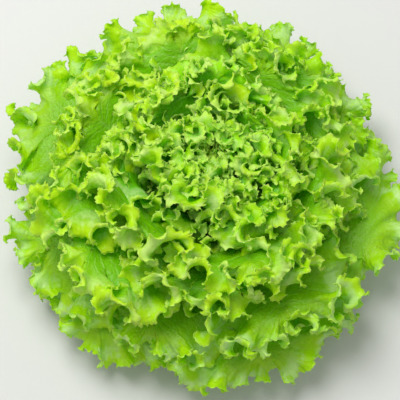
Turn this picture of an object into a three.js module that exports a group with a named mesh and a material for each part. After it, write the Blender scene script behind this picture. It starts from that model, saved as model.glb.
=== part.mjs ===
// A batavia lettuce head, cut from its root: a short tapered stem that carries 56 frilled leaves.
// Units are millimetres, +Z is up, and the origin is the centre of the stem's cut face.
//
// The leaves sit on the stem in a golden-angle spiral. Rank 0 is the oldest leaf, at the outside and
// lowest on the stem, and the last rank is the youngest, upright in the heart. Each leaf is a patch
// of its own surface of revolution about the stem. The surfaces are nested one inside the other, so
// that the leaves lie over each other as scales do and never cut through each other.
import * as THREE from "three";

// Stem
const STEM_HEIGHT = 60;
const STEM_BUTT_RADIUS = 15.5;
const STEM_TIP_RADIUS = 4.5;
const STEM_CHAMFER = 1.2;
const STEM_SIDES = 40;

// Arrangement of the leaves
const LEAF_COUNT = 56;
const DIVERGENCE = 137.508;
const FIRST_AZIMUTH = 92;
const FIRST_LEAF_HEIGHT = 9;
const LAST_LEAF_HEIGHT = 57;
const STEM_GAP = 0.35;

// How a leaf leaves the stem: its pitch above the horizontal, and the droop that it gains on its way
// out. The oldest leaves sag to the ground, and the youngest ones cup inwards. The powers say how
// evenly the leaves rise and shorten with age: 1 is even, and more keeps the older leaves alike.
const OUTER_PITCH = 21;
const HEART_PITCH = 86;
const OUTER_DROOP = 17;
const HEART_DROOP = -9;
const DROOP_REACH = 165;
const RISE_POWER = 0.9;

// Leaf sizes, from the oldest leaf to the youngest
const OUTER_LENGTH = 158;
const HEART_LENGTH = 60;
const SHORTEN_POWER = 1.4;
const OUTER_HALF_WIDTH = 80;
const HEART_HALF_WIDTH = 26;
const LOPSIDED = 0.06;
const LENGTH_VARIATION = 0.055;
const WIDTH_VARIATION = 0.05;
const TIP_FULLNESS = 0.75;
const FOOT_WIDTH = 0.14;
const WIDEST_WRAP = 70;
const BASE_WRAP = 36;
const OUTER_BLADE = 1.3;
const HEART_BLADE = 0.55;
const OUTER_RIB = 2.6;
const HEART_RIB = 0.7;

// Waves of the margin
const WAVES_PER_LEAF = 5;
const WAVE_SHARE_OF_GAP = 0.3;
const OVERLAPPING_RANKS = 3;

// Facets of a leaf
const SIDE_COLUMNS = 8;
const VEIN_ROWS = 3;

const GROUPS = [
  { name: "outer_leaf", count: 14, colour: 0x74b332, roughness: 0.5 },
  { name: "middle_leaf", count: 16, colour: 0x86c62c, roughness: 0.48 },
  { name: "inner_leaf", count: 15, colour: 0x9ad12f, roughness: 0.46 },
  { name: "heart_leaf", count: 11, colour: 0xaedb4a, roughness: 0.45 },
];
const STEM_FINISH = { colour: 0xdfe6b4, roughness: 0.55, metalness: 0 };

const { lerp, clamp, degToRad } = THREE.MathUtils;

// Age of a leaf: 0 for the oldest and 1 for the youngest.
function ageOf(rank) {
  return rank / (LEAF_COUNT - 1);
}

// Radius of the stem at a height above its cut face.
function stemRadius(height) {
  const rise = clamp(height / STEM_HEIGHT, 0, 1);
  return lerp(STEM_BUTT_RADIUS, STEM_TIP_RADIUS, rise ** 1.6);
}

// Small repeatable differences between one leaf and the next, from -1 to 1.
function variation(rank, turn) {
  return Math.sin(rank * 2.399 * turn + turn);
}

// Everything that sets one leaf apart from the others.
function leafSizes(rank) {
  const age = ageOf(rank);
  const height = lerp(FIRST_LEAF_HEIGHT, LAST_LEAF_HEIGHT, age);
  const youth = age ** SHORTEN_POWER;
  const rise = age ** RISE_POWER;
  const azimuth = degToRad(FIRST_AZIMUTH + rank * DIVERGENCE);
  const reach = (1 - LOPSIDED * Math.cos(azimuth)) * (1 + LENGTH_VARIATION * variation(rank, 3));
  return {
    azimuth,
    pitch: degToRad(lerp(OUTER_PITCH, HEART_PITCH, rise)),
    droop: degToRad(lerp(OUTER_DROOP, HEART_DROOP, rise)),
    height,
    baseRadius: stemRadius(height) + STEM_GAP + 0.5 * lerp(OUTER_RIB, HEART_RIB, age),
    length: lerp(OUTER_LENGTH, HEART_LENGTH, youth) * reach,
    halfWidth: lerp(OUTER_HALF_WIDTH, HEART_HALF_WIDTH, youth) * (1 + WIDTH_VARIATION * variation(rank, 5)),
    blade: lerp(OUTER_BLADE, HEART_BLADE, age),
    rib: lerp(OUTER_RIB, HEART_RIB, age),
  };
}

// Angle above the horizontal at which a leaf's profile stands at a distance from its base.
function pitchAt(leaf, reach) {
  return leaf.pitch - leaf.droop * (reach / DROOP_REACH) ** 2;
}

// Point on a leaf's surface: reach from the base, turn about the stem, and lift off the surface.
function surfacePoint(leaf, reach, turn, lift) {
  const pitch = pitchAt(leaf, reach);
  const slope = pitch - Math.atan(2 * (leaf.pitch - pitch));
  const radius = leaf.baseRadius + reach * Math.cos(pitch) - lift * Math.sin(slope);
  const z = leaf.height + reach * Math.sin(pitch) + lift * Math.cos(slope);
  const angle = leaf.azimuth + turn;
  return new THREE.Vector3(radius * Math.cos(angle), radius * Math.sin(angle), z);
}

// Outline of one side of a leaf laid flat, from its base at 0 to its tip at 1.
function outline(leaf, along) {
  const swing = Math.PI * along;
  const fan = Math.sin(swing) * (1 - TIP_FULLNESS * Math.cos(swing));
  const foot = FOOT_WIDTH * Math.cos(swing / 2) ** 2;
  return {
    edge: leaf.length * 0.5 * (1 - Math.cos(swing)),
    halfWidth: leaf.halfWidth * (fan / (1 + 0.4 * TIP_FULLNESS ** 2) + foot),
  };
}

// A leaf's turn about the stem at a distance to the side of its rib, kept from wrapping too far.
function turnFor(leaf, reach, side) {
  const radius = leaf.baseRadius + reach * Math.cos(pitchAt(leaf, reach));
  const open = clamp(reach / (0.35 * leaf.length), 0, 1);
  const widest = degToRad(lerp(BASE_WRAP, WIDEST_WRAP, open));
  return widest * Math.tanh(side / radius / widest);
}

// Lift of the margin's waves. The gap to the next leaf that lies over this one limits it.
function waveLift(leaf, column, row, reach) {
  const gapAngle = (degToRad(HEART_PITCH - OUTER_PITCH) * OVERLAPPING_RANKS) / (LEAF_COUNT - 1);
  const phase = (column / (2 * SIDE_COLUMNS)) * 2 * Math.PI * WAVES_PER_LEAF + leaf.azimuth;
  return WAVE_SHARE_OF_GAP * gapAngle * reach * (row / VEIN_ROWS) ** 2 * Math.sin(phase);
}

// Closed solid of one leaf: an upper and a lower skin on the same grid, joined round the margin.
// Columns run round the margin from one side of the base to the other, and rows from rib to margin.
function leafGeometry(leaf) {
  const columns = 2 * SIDE_COLUMNS;
  const points = [];
  const faces = [];
  const skins = [1, -1].map((skin) => {
    const grid = [];
    for (let column = 0; column <= columns; column++) {
      const side = column <= SIDE_COLUMNS ? -1 : 1;
      const along = 1 - Math.abs(column - SIDE_COLUMNS) / SIDE_COLUMNS;
      const { edge, halfWidth } = outline(leaf, along);
      const start = edge * (1 - (0.2 * edge) / leaf.length);
      const line = [];
      for (let row = 0; row <= VEIN_ROWS; row++) {
        if (row === 0 && column > SIDE_COLUMNS) {
          line.push(grid[columns - column][0]);
          continue;
        }
        const out = row / VEIN_ROWS;
        const reach = lerp(start, edge, out);
        const turn = turnFor(leaf, reach, side * halfWidth * out);
        const rib = leaf.rib * (1 - 0.7 * along) * (1 - out) ** 2;
        const half = skin > 0 ? 0.5 * leaf.blade : 0.5 * Math.max(leaf.blade, leaf.blade + rib);
        const lift = waveLift(leaf, column, row, reach) + skin * half;
        line.push(points.push(surfacePoint(leaf, reach, turn, lift)) - 1);
      }
      grid.push(line);
    }
    return grid;
  });
  const quad = (a, b, c, d) => faces.push([a, b, c], [a, c, d]);
  const [upper, lower] = skins;
  for (let column = 0; column < columns; column++) {
    for (let row = 0; row < VEIN_ROWS; row++) {
      const [u0, u1] = [upper[column], upper[column + 1]];
      const [l0, l1] = [lower[column], lower[column + 1]];
      quad(u0[row], u0[row + 1], u1[row + 1], u1[row]);
      quad(l0[row], l1[row], l1[row + 1], l0[row + 1]);
    }
    const [uNear, uFar] = [upper[column][VEIN_ROWS], upper[column + 1][VEIN_ROWS]];
    const [lNear, lFar] = [lower[column][VEIN_ROWS], lower[column + 1][VEIN_ROWS]];
    quad(uNear, lNear, lFar, uFar);
  }
  for (let row = 0; row < VEIN_ROWS; row++) {
    quad(upper[0][row], lower[0][row], lower[0][row + 1], upper[0][row + 1]);
    quad(upper[columns][row + 1], lower[columns][row + 1], lower[columns][row], upper[columns][row]);
  }
  const geometry = new THREE.BufferGeometry();
  geometry.setAttribute("position", new THREE.Float32BufferAttribute(points.flatMap((p) => p.toArray()), 3));
  geometry.setIndex(faces.filter(([a, b, c]) => a !== b && b !== c && a !== c).flat());
  geometry.computeVertexNormals();
  return geometry;
}

// Stem: a turned solid with a flat cut face below and a rounded growing tip above.
function stemGeometry() {
  const profile = [
    new THREE.Vector2(0, 0),
    new THREE.Vector2(STEM_BUTT_RADIUS - STEM_CHAMFER, 0),
    new THREE.Vector2(stemRadius(STEM_CHAMFER), STEM_CHAMFER),
  ];
  for (const share of [0.2, 0.4, 0.6, 0.8, 0.95]) {
    profile.push(new THREE.Vector2(stemRadius(share * STEM_HEIGHT), share * STEM_HEIGHT));
  }
  profile.push(new THREE.Vector2(0.5 * STEM_TIP_RADIUS, STEM_HEIGHT + 0.3 * STEM_TIP_RADIUS));
  profile.push(new THREE.Vector2(0, STEM_HEIGHT + 0.45 * STEM_TIP_RADIUS));
  const geometry = new THREE.LatheGeometry(profile, STEM_SIDES);
  geometry.rotateX(Math.PI / 2);
  return geometry;
}

function buildStem() {
  const { colour, ...finish } = STEM_FINISH;
  const material = new THREE.MeshStandardMaterial({ color: colour, ...finish });
  const stem = new THREE.Mesh(stemGeometry(), material);
  stem.name = "stem";
  return stem;
}

function buildLeaves() {
  const leaves = new THREE.Group();
  let rank = 0;
  for (const { name, count, colour, roughness } of GROUPS) {
    const material = new THREE.MeshStandardMaterial({ color: colour, roughness, metalness: 0 });
    for (let number = 1; number <= count; number++, rank++) {
      const leaf = new THREE.Mesh(leafGeometry(leafSizes(rank)), material);
      leaf.name = `${name}_${String(number).padStart(2, "0")}`;
      leaves.add(leaf);
    }
  }
  return leaves;
}

const lettuce = new THREE.Group();
lettuce.add(buildStem(), buildLeaves());

export default lettuce;
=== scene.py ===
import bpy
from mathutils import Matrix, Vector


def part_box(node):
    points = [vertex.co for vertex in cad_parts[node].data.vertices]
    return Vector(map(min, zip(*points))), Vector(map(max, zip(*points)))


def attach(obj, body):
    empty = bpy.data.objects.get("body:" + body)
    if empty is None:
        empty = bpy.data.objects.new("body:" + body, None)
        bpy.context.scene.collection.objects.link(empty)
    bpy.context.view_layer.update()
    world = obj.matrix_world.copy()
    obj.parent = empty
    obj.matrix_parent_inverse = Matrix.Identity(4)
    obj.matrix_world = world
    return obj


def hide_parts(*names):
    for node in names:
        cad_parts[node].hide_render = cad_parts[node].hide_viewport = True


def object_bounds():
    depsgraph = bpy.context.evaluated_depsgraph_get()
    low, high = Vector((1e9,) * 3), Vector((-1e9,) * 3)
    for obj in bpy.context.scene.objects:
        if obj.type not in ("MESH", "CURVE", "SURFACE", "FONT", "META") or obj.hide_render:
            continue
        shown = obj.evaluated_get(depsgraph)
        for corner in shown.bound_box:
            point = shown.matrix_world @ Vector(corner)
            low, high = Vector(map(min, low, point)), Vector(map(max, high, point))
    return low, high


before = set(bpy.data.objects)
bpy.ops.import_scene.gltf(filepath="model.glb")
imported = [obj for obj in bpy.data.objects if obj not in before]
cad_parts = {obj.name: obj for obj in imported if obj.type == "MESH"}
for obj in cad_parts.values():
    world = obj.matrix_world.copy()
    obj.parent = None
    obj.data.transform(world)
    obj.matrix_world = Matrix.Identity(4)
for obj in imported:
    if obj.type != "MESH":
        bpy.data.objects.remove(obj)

"""A batavia lettuce head, cut from its root and resting on a pale floor.

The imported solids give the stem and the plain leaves. Every leaf is grown again here: its blade
starts as the plain leaf, its margin gets more tissue than fits along its flat outline, and a
simulation of thin, stiff tissue buckles the surplus into ruffles. All lengths in the leaf code are
millimetres, and meshes are written in metres.
"""
import logging
import math
from dataclasses import dataclass, field
from enum import Enum

import bmesh
import bpy
import numpy as np
from mathutils import Vector

CAD_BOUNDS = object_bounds()
LOG = logging.getLogger("lettuce")
MM = 0.001
REAL = np.float32
SEED = 11
EDGE_REACH = 60.0
WHITE = (1.0, 1.0, 1.0, 1.0)


class LeafGroup(Enum):
    """Leaves by age, named as their nodes and their material slots are."""

    OUTER = "outer_leaf"
    MIDDLE = "middle_leaf"
    INNER = "inner_leaf"
    HEART = "heart_leaf"

    def nodes(self) -> list[str]:
        """Names of the group's solids, oldest leaf first."""
        return sorted(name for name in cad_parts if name.startswith(self.value))


# ---------------------------------------------------------------- small numeric helpers


def lerp(start: float, end: float, share: np.ndarray) -> np.ndarray:
    """Value at a share of the way from start to end."""
    return start + (end - start) * share


def smooth_step(value: np.ndarray, low: float, high: float) -> np.ndarray:
    """Smooth rise from 0 at low to 1 at high."""
    share = np.clip((value - low) / (high - low), 0.0, 1.0)
    return share * share * (3.0 - 2.0 * share)


def lengths(vectors: np.ndarray) -> np.ndarray:
    """Length of each vector along the last axis."""
    return np.sqrt(np.einsum("...i,...i->...", vectors, vectors))


def wander(rng: np.random.Generator, count: int, along: np.ndarray, low: float, high: float,
           terms: int = 4) -> np.ndarray:
    """Smooth random lines, each about 1 in size.

    Args:
        rng: source of the random phases.
        count: number of lines.
        along: positions from 0 to 1.
        low: fewest waves on a line.
        high: most waves on a line.
        terms: number of waves added together.

    Returns:
        Array of count lines by len(along) values.
    """
    line = np.zeros((count, len(along)))
    for waves in np.linspace(low, high, terms):
        rate = waves * rng.uniform(0.85, 1.15, (count, 1))
        phase = rng.uniform(0.0, 2.0 * np.pi, (count, 1))
        line += np.sin(2.0 * np.pi * rate * along[None] + phase)
    return line / math.sqrt(terms)


def through_points(values: np.ndarray, at: np.ndarray, axis: int) -> np.ndarray:
    """Catmull-Rom values between the entries of an array.

    Args:
        values: array to read.
        at: fractional positions, from 0 to the axis length less 1.
        axis: axis to read along, 0, 1 or 2.

    Returns:
        Array with len(at) entries on that axis.
    """
    last = values.shape[axis] - 1
    start = np.clip(np.floor(at).astype(int), 0, last - 1)
    shape = [1] * values.ndim
    shape[axis] = -1
    share = (at - start).astype(REAL).reshape(shape)
    before, first, second, after = (
        np.take(values, np.clip(start + step, 0, last), axis) for step in (-1, 0, 1, 2)
    )
    return 0.5 * (
        2.0 * first
        + (second - before) * share
        + (2.0 * before - 5.0 * first + 4.0 * second - after) * share**2
        + (3.0 * first - before - 3.0 * second + after) * share**3
    )


def near_pairs(points: np.ndarray, distance: float) -> tuple[np.ndarray, np.ndarray]:
    """Pairs of points nearer to each other than a distance, found through a grid of cells.

    Args:
        points: one point a row.
        distance: largest distance of a pair, and the side of a cell.

    Returns:
        Two arrays of row numbers.
    """
    cell = np.floor((points - points.min(0)) / distance).astype(np.int64) + 1
    across, deep, _ = cell.max(0) + 2
    key = (cell[:, 2] * deep + cell[:, 1]) * across + cell[:, 0]
    order = np.argsort(key, kind="stable")
    key = key[order]
    ranked = points[order]
    rows = np.arange(len(points))
    firsts, seconds = [], []
    for up, aside in ((0, 0), (0, 1), (1, -1), (1, 0), (1, 1)):
        step = (up * deep + aside) * across
        low = rows + 1 if step == 0 else np.searchsorted(key, key + step - 1, "left")
        count = np.maximum(np.searchsorted(key, key + step + 1, "right") - low, 0)
        first = np.repeat(rows, count)
        second = np.repeat(low - (np.cumsum(count) - count), count) + np.arange(count.sum())
        gap = ranked[second] - ranked[first]
        close = np.einsum("ij,ij->i", gap, gap) < distance * distance
        firsts.append(order[first[close]])
        seconds.append(order[second[close]])
    return np.concatenate(firsts), np.concatenate(seconds)


# ---------------------------------------------------------------- the rosette


@dataclass(frozen=True)
class StemShape:
    """Sizes of the stem, with the butt as wide as its solid."""

    height: float = 60.0
    tip_radius: float = 4.5
    chamfer: float = 1.2
    dome: float = 2.0

    def radius(self, height: np.ndarray) -> np.ndarray:
        """Radius of the stem.

        Args:
            height: height above its cut face.

        Returns:
            Radius at that height.
        """
        low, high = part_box("stem")
        butt = 0.5 * (high.x - low.x) / MM
        rise = np.clip(height / self.height, 0.0, 1.0)
        return lerp(butt, self.tip_radius, rise**1.6)


@dataclass(frozen=True)
class Rosette:
    """Sizes of the spiral of leaves, as the solids have them. Pairs run from oldest to youngest."""

    stem: StemShape = StemShape()
    divergence: float = 137.508
    first_azimuth: float = 92.0
    heights: tuple[float, float] = (9.0, 57.0)
    pitches: tuple[float, float] = (21.0, 86.0)
    droops: tuple[float, float] = (17.0, -9.0)
    droop_reach: float = 165.0
    leaf_lengths: tuple[float, float] = (158.0, 60.0)
    half_widths: tuple[float, float] = (80.0, 26.0)
    ribs: tuple[float, float] = (2.6, 0.7)
    lopsided: float = 0.06
    length_variation: float = 0.055
    width_variation: float = 0.05
    tip_fullness: float = 0.75
    foot_width: float = 0.14
    base_wrap: float = 36.0
    widest_wrap: float = 70.0
    stem_gap: float = 0.35
    overlapping_ranks: int = 3
    rise_power: float = 0.9
    shorten_power: float = 1.4
    azimuth_difference: float = 8.0
    pitch_difference: float = 8.0
    length_difference: float = 0.12
    width_difference: float = 0.08
    oldest_difference: float = 0.35
    wider: float = 1.06
    differences: int = 159

    @staticmethod
    def vary(rank: np.ndarray, turn: int) -> np.ndarray:
        """Small repeatable differences between the solids, from -1 to 1."""
        return np.sin(rank * 2.399 * turn + turn)

    def leaves(self, count: int) -> "Leaves":
        """Works out all the leaves' sizes, with the small differences that only grown leaves have.

        Args:
            count: number of leaves.

        Returns:
            The sizes, oldest leaf first.
        """
        rank = np.arange(count)
        age = rank / (count - 1)
        youth = age**self.shorten_power
        rise = age**self.rise_power
        rng = np.random.default_rng(self.differences)
        azimuth = np.radians(self.first_azimuth + rank * self.divergence)
        height = lerp(*self.heights, age)
        length = (1.0 - self.lopsided * np.cos(azimuth)) * lerp(*self.leaf_lengths, youth)
        length *= 1.0 + self.length_variation * self.vary(rank, 3)
        width = lerp(*self.half_widths, youth) * (1.0 + self.width_variation * self.vary(rank, 5))
        loose = lerp(self.oldest_difference, 1.0, np.minimum(1.0, 4.0 * age))

        def differ(size: float) -> np.ndarray:
            """A random difference for each leaf, smaller for the oldest leaves."""
            return size * loose * rng.uniform(-1.0, 1.0, count)

        return Leaves(
            rosette=self,
            age=age,
            azimuth=azimuth + np.radians(differ(self.azimuth_difference)),
            pitch=np.radians(lerp(*self.pitches, rise) + differ(self.pitch_difference)),
            droop=np.radians(lerp(*self.droops, rise)),
            height=height,
            base_radius=self.stem.radius(height) + self.stem_gap + 0.5 * lerp(*self.ribs, age),
            length=length * (1.0 + differ(self.length_difference)),
            half_width=width * (self.wider + differ(self.width_difference)),
            vigour=rng.uniform(0.8, 1.2, count),
        )


@dataclass
class Leaves:
    """Sizes of every leaf, one entry a leaf, and the nested surfaces that the leaves lie on."""

    rosette: Rosette
    age: np.ndarray
    azimuth: np.ndarray
    pitch: np.ndarray
    droop: np.ndarray
    height: np.ndarray
    base_radius: np.ndarray
    length: np.ndarray
    half_width: np.ndarray
    vigour: np.ndarray

    def relative_length(self) -> np.ndarray:
        """Length of each leaf as a share of the oldest leaf's plain length."""
        return self.length / self.rosette.leaf_lengths[0]

    @staticmethod
    def spread(values: np.ndarray, like: np.ndarray) -> np.ndarray:
        """One value a leaf, shaped to combine with a grid of values."""
        return values.reshape((-1,) + (1,) * (like.ndim - 1))

    def surface(self, reach: np.ndarray, side: np.ndarray, lift: float) -> np.ndarray:
        """Points of the leaves' nested surfaces.

        Args:
            reach: distance from each leaf's base along its rib.
            side: distance to the side of the rib.
            lift: distance off the surface, towards the heart.

        Returns:
            Points, with x, y and z on the last axis.
        """
        pitch_0 = self.spread(self.pitch, reach)
        bend = self.spread(self.droop, reach) * (reach / self.rosette.droop_reach) ** 2
        pitch = pitch_0 - bend
        slope = pitch - np.arctan(2.0 * bend)
        radius = self.spread(self.base_radius, reach) + reach * np.cos(pitch)
        open_share = np.clip(reach / (0.35 * self.spread(self.length, reach)), 0.0, 1.0)
        widest = np.radians(lerp(self.rosette.base_wrap, self.rosette.widest_wrap, open_share))
        angle = self.spread(self.azimuth, reach) + widest * np.tanh(side / radius / widest)
        radius = radius - lift * np.sin(slope)
        z = self.spread(self.height, reach) + reach * np.sin(pitch) + lift * np.cos(slope)
        return np.stack([radius * np.cos(angle), radius * np.sin(angle), z], -1)

    def outline(self, along: np.ndarray) -> tuple[np.ndarray, np.ndarray]:
        """Outline of a flat leaf of unit size.

        Args:
            along: places from the leaf's base at 0 to its tip at 1.

        Returns:
            Reach from the base, and half width, at each place.
        """
        swing = np.pi * along
        fan = np.sin(swing) * (1.0 - self.rosette.tip_fullness * np.cos(swing))
        foot = self.rosette.foot_width * np.cos(0.5 * swing) ** 2
        return 0.5 * (1.0 - np.cos(swing)), fan / (1.0 + 0.4 * self.rosette.tip_fullness**2) + foot

    def columns(self, count: int) -> np.ndarray:
        """Places the columns, closer together towards a leaf's tip.

        Args:
            count: number of columns round the margin.

        Returns:
            Each column's place along its leaf, from 0 to 1, one row a leaf.
        """
        along = np.linspace(0.0, 1.0, 400)
        reach, half = self.outline(along)
        turn = np.abs(np.linspace(-1.0, 1.0, count))
        turn *= 0.58 + 0.42 * turn**2
        places = []
        for length, width in zip(self.length, self.half_width):
            edge = np.hypot(np.diff(reach * length), np.diff(half * width))
            walked = np.concatenate([[0.0], np.cumsum(edge)])
            places.append(np.interp(1.0 - turn, walked / walked[-1], along))
        return np.array(places)

    def gap_to_next(self, reach: np.ndarray) -> np.ndarray:
        """Room between a leaf and the next one that lies over it.

        Args:
            reach: distance from each leaf's base along its rib.

        Returns:
            Free height at each place.
        """
        rosette = self.rosette
        step = rosette.overlapping_ranks / (len(self.age) - 1)
        turn = math.radians(rosette.pitches[1] - rosette.pitches[0]) * step
        rise = (rosette.heights[1] - rosette.heights[0]) * step
        return turn * reach + rise * np.cos(self.spread(self.pitch, reach)) + 0.8


# ---------------------------------------------------------------- growth of the blades


@dataclass(frozen=True)
class Ruffle:
    """One scale of surplus growth at the margin: how much, how deep, and how patchy it is."""

    surplus: float
    outer_share: float
    depth: float
    patches: tuple[float, float]
    patchiness: float


@dataclass(frozen=True)
class Stage:
    """One pass of the growth simulation, finer than the one before."""

    columns: int
    rows: int
    steps: int
    grown: int
    ruffles: int
    seeds: tuple[float, float, float, float]
    stiffness: float
    contact: float
    fine_contact: float
    contact_from: int


@dataclass(frozen=True)
class Tissue:
    """How the blade answers to growth, and how it is held."""

    stretch: float = 0.9
    shear: float = 0.3
    hold: float = 0.12
    damping: float = 0.85
    weight: float = 0.004
    fastest: float = 1.5
    free_from: float = 0.5
    room: float = 2.0
    row_power: float = 1.6
    lobes: tuple[float, float] = (0.022, 0.012)
    ruffle_scaling: float = 0.55
    ground: float = 1.3
    ruffles: tuple[Ruffle, ...] = (
        Ruffle(1.00, 0.32, 28.0, (2.0, 5.0), 0.60),
        Ruffle(0.60, 0.25, 10.0, (3.0, 8.0), 0.75),
        Ruffle(0.60, 0.3, 5.0, (8.0, 20.0), 0.70),
        Ruffle(0.70, 0.5, 2.6, (20.0, 55.0), 0.60),
        Ruffle(0.70, 0.6, 1.5, (30.0, 80.0), 0.60),
    )
    stages: tuple[Stage, ...] = (
        Stage(65, 8, 120, 0, 2, (3.0, 12.0, 8.0, 1.3), 0.10, 0.0, 0.0, 0),
        Stage(129, 11, 90, 2, 3, (24.0, 46.0, 1.3, 4.0), 0.12, 4.6, 2.0, 20),
        Stage(257, 16, 70, 3, 4, (60.0, 110.0, 0.7, 8.0), 0.10, 3.2, 1.5, 10),
        Stage(513, 22, 36, 4, 5, (120.0, 220.0, 0.4, 10.0), 0.10, 0.0, 0.0, 0),
    )


class GrowingBlades:
    """All the leaf blades on one grid each, with the lengths that their tissue wants to have.

    Columns run round the margin, from one side of the base over the tip to the other side, and
    rows run from the rib out to the margin.
    """

    def __init__(self, leaves: Leaves, tissue: Tissue, stage: Stage) -> None:
        """Lays the flat blades out and works out their grown lengths.

        Args:
            leaves: sizes of the leaves.
            tissue: growth and stiffness.
            stage: size of the grid, and the growth that it adds.
        """
        self.leaves, self.tissue, self.stage = leaves, tissue, stage
        self.along = leaves.columns(stage.columns)
        self.out = 1.0 - (1.0 - np.linspace(0.0, 1.0, stage.rows)) ** tissue.row_power
        self._lay_flat()
        self._grow()
        self.target = leaves.surface(self.reach, self.side, 0.0).astype(REAL)
        self.lift_way = leaves.surface(self.reach, self.side, 1.0).astype(REAL) - self.target
        holding = 1.0 - smooth_step(self.out, 0.05, tissue.free_from)
        foot = 1.0 - smooth_step(self.along, 0.05, 0.3)
        self.hold = tissue.hold * np.maximum(holding[None, None, :], foot[..., None])
        room = leaves.gap_to_next(self.reach) * (0.5 + tissue.room * self.out**2)
        self.room = room.astype(REAL)
        self.loose = np.empty(self.reach.shape, REAL)
        self.loose[:] = 0.05 + 0.95 * smooth_step(self.out, 0.0, 0.35)
        self.contacts: tuple[np.ndarray, np.ndarray, np.ndarray] | None = None

    def _lay_flat(self) -> None:
        """Flat blades with their lobes: reach along the rib, and distance to its side."""
        rng = np.random.default_rng(SEED)
        turn = np.linspace(0.0, 1.0, self.stage.columns)
        count = len(self.leaves.age)
        reach, half = self.leaves.outline(self.along)
        edge = reach * self.leaves.length[:, None]
        broad, fine = self.tissue.lobes
        lobes = broad * wander(rng, count, turn, 2, 5) + fine * wander(rng, count, turn, 7, 14)
        grown = 1.0 + lobes * smooth_step(self.along, 0.1, 0.35)
        start = edge * (1.0 - 0.2 * reach)
        half = half * self.leaves.half_width[:, None] * np.sign(turn - 0.5)[None] * grown
        self.reach = start[..., None] + (edge * grown - start)[..., None] * self.out
        self.side = half[..., None] * self.out

    def _grow(self) -> None:
        """Lengths that the edges and diagonals of the grid have once the margin has grown."""
        rng = np.random.default_rng(SEED + 1)
        turn = np.linspace(0.0, 1.0, self.stage.columns)
        flat = np.stack([self.reach, self.side], -1)
        from_margin = lengths(flat - flat[:, :, -1:])
        size = self.leaves.spread(self.leaves.relative_length(), from_margin)
        size = size**self.tissue.ruffle_scaling
        taper = smooth_step(self.along, 0.06, 0.34)[..., None]
        growth = np.ones_like(from_margin)
        across = lengths(flat[:, 1:] - flat[:, :-1])
        for number, ruffle in enumerate(self.tissue.ruffles[: self.stage.ruffles]):
            if number == self.stage.grown:
                self.hoop_before = (across * 0.5 * (growth[:, 1:] + growth[:, :-1])).astype(REAL)
            patch = wander(rng, len(self.leaves.age), turn, *ruffle.patches)
            patch = np.clip(1.0 + ruffle.patchiness * patch, 0.05, 2.4)
            share = lerp(ruffle.outer_share, 1.0, np.minimum(1.0, 3.5 * self.leaves.age))
            surplus = ruffle.surplus * patch * (share * self.leaves.vigour)[:, None]
            growth += surplus[..., None] * np.exp(-from_margin / (ruffle.depth * size)) * taper
        self.hoop = (across * 0.5 * (growth[:, 1:] + growth[:, :-1])).astype(REAL)
        self.vein = lengths(flat[:, :, 1:] - flat[:, :, :-1]).astype(REAL)
        near, over = flat[:, :-1, :-1], flat[:, 1:, 1:]
        left, right = flat[:, :-1, 1:], flat[:, 1:, :-1]
        mean = 0.25 * (growth[:, :-1, :-1] + growth[:, 1:, 1:] + growth[:, 1:, :-1] + growth[:, :-1, 1:])
        hoop_way = 0.5 * (over + right - near - left)
        vein_way = 0.5 * (over + left - near - right)
        self.diagonals = [
            self._grown_length(gap, hoop_way, vein_way, mean).astype(REAL)
            for gap in (over - near, left - right)
        ]
        self.rib_span = lengths(flat[:, :, 1] - flat[:, ::-1, 1]).astype(REAL)

    @staticmethod
    def _grown_length(gap: np.ndarray, hoop: np.ndarray, vein: np.ndarray,
                      growth: np.ndarray) -> np.ndarray:
        """Length of a diagonal after growth along the hoop direction only.

        Args:
            gap: the diagonal on the flat blade.
            hoop: way along the margin there.
            vein: way from the rib to the margin there.
            growth: how many times its flat length the hoop becomes.

        Returns:
            The grown length.
        """
        cross = hoop[..., 0] * vein[..., 1] - hoop[..., 1] * vein[..., 0]
        cross = np.where(np.abs(cross) < 1e-6, 1e-6, cross)
        along_hoop = (gap[..., 0] * vein[..., 1] - gap[..., 1] * vein[..., 0]) / cross
        along_vein = (hoop[..., 0] * gap[..., 1] - hoop[..., 1] * gap[..., 0]) / cross
        return lengths((along_hoop * growth)[..., None] * hoop + along_vein[..., None] * vein)

    # -------------------------------------------------------- one step

    def _relax(self, points: np.ndarray, near: tuple, far: tuple, rest: np.ndarray,
               stiffness: float, push_only: bool = False) -> None:
        """Moves the two ends of each edge in one family towards its rest length.

        Args:
            points: all the grids, changed in place.
            near: index of the edges' first ends.
            far: index of the edges' other ends.
            rest: rest length of each edge.
            stiffness: share of the error that is taken away.
            push_only: leaves an edge alone where it is too long.
        """
        first, second = points[near], points[far]
        gap = second - first
        length = lengths(gap) + REAL(1e-6)
        error = length - rest
        if push_only:
            error = np.minimum(error, 0.0)
        loose_1, loose_2 = self.loose[near], self.loose[far]
        pull = (REAL(stiffness) * error / length / (loose_1 + loose_2))[..., None] * gap
        first += loose_1[..., None] * pull
        second -= loose_2[..., None] * pull

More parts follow.
